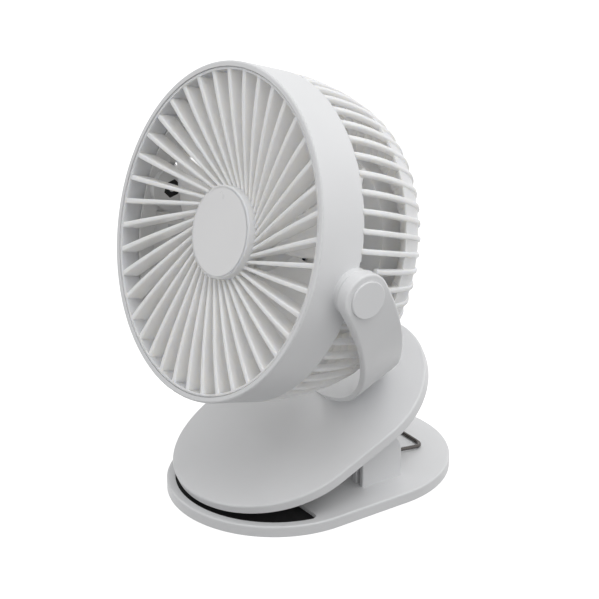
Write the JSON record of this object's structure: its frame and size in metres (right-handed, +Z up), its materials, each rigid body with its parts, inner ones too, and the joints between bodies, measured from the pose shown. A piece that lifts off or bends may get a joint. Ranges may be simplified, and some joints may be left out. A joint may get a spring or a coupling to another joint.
{
  "type": "clip fan",
  "caption": "Small clip-on desk fan: round tilting head with swirled grille and ribbed cage, held by a U-shaped yoke on a spring-loaded clip with an oval jaw.",
  "frame": {"origin": "middle of the underside of the base, on the face it rests on", "axes": "+Z is up, the fan faces -Y, and the hinge and tilt axes run along X"},
  "size_m": [0.17, 0.1433, 0.2053],
  "materials": {
    "white_plastic": "moulded satin white plastic",
    "inner_plastic": "plain moulded white plastic, less polished",
    "badge_plastic": "smooth white disc",
    "black_rubber": "soft matt black rubber",
    "spring_steel": "bright drawn steel wire",
    "zinc_steel": "zinc-plated steel",
    "plate_steel": "plain rolled steel plate",
    "dark_steel": "black-coated steel",
    "bronze": "sintered bronze",
    "ferrite": "dark sintered magnet",
    "copper_core": "laminated core wound with enamelled wire",
    "cell_wrap": "wrapped cell pouch",
    "board": "green circuit board",
    "black_plastic": "black moulded plastic",
    "lens": "clear plastic light guide",
    "washer_nylon": "natural nylon"
  },
  "bodies": {
    "base": {"base_plate": "white_plastic", "base_cover": "inner_plastic", "base_weight": "plate_steel", "base_screws": "zinc_steel", "foot_pad": "black_rubber", "base_pad": "black_rubber", "hinge_pin": "zinc_steel", "spring_sleeve": "inner_plastic", "torsion_spring": "spring_steel"},
    "jaw": {"jaw": "white_plastic", "jaw_bracket": "inner_plastic", "jaw_screws": "zinc_steel", "jaw_pad": "black_rubber", "pivot_caps": "white_plastic"},
    "head": {"shroud": "white_plastic", "friction_washers": "washer_nylon", "pivot_screws": "zinc_steel", "pivot_nuts": "dark_steel", "front_grille": "white_plastic", "hub_badge": "badge_plastic", "rear_cage": "white_plastic", "rear_cover": "white_plastic", "cover_screws": "zinc_steel", "battery": "cell_wrap", "circuit_board": "board", "switch": "black_plastic", "charging_port": "zinc_steel", "status_light": "lens", "motor_can": "dark_steel", "motor_end": "black_plastic", "motor_bushes": "bronze", "motor_magnets": "ferrite"},
    "rotor": {"impeller": "white_plastic", "impeller_clip": "zinc_steel", "motor_shaft": "zinc_steel", "armature": "copper_core"},
    "button": {"power_button": "white_plastic"}
  },
  "joints": [
    {"name": "jaw_hinge", "type": "hinge", "parent": "base", "child": "jaw", "pos_m": [0, 0.0162, 0.0185], "axis": [-1, 0, 0], "range_deg": [0, 35], "stiffness_Nm_per_rad": 1.5, "springref_deg": -28.65, "deforming": ["torsion_spring"]},
    {"name": "head_tilt", "type": "hinge", "parent": "jaw", "child": "head", "pos_m": [0, -0.03004, 0.12776], "axis": [-1, 0, 0], "continuous": true},
    {"name": "rotor_spin", "type": "hinge", "parent": "head", "child": "rotor", "pos_m": [0, -0.02053, 0.12468], "axis": [0, -0.9514, 0.308], "continuous": true},
    {"name": "button_press", "type": "slide", "parent": "head", "child": "button", "axis": [0, -0.9514, 0.308], "range_m": [0, 0.0008], "stiffness_N_per_m": 1500, "springref_m": -0.0005}
  ]
}
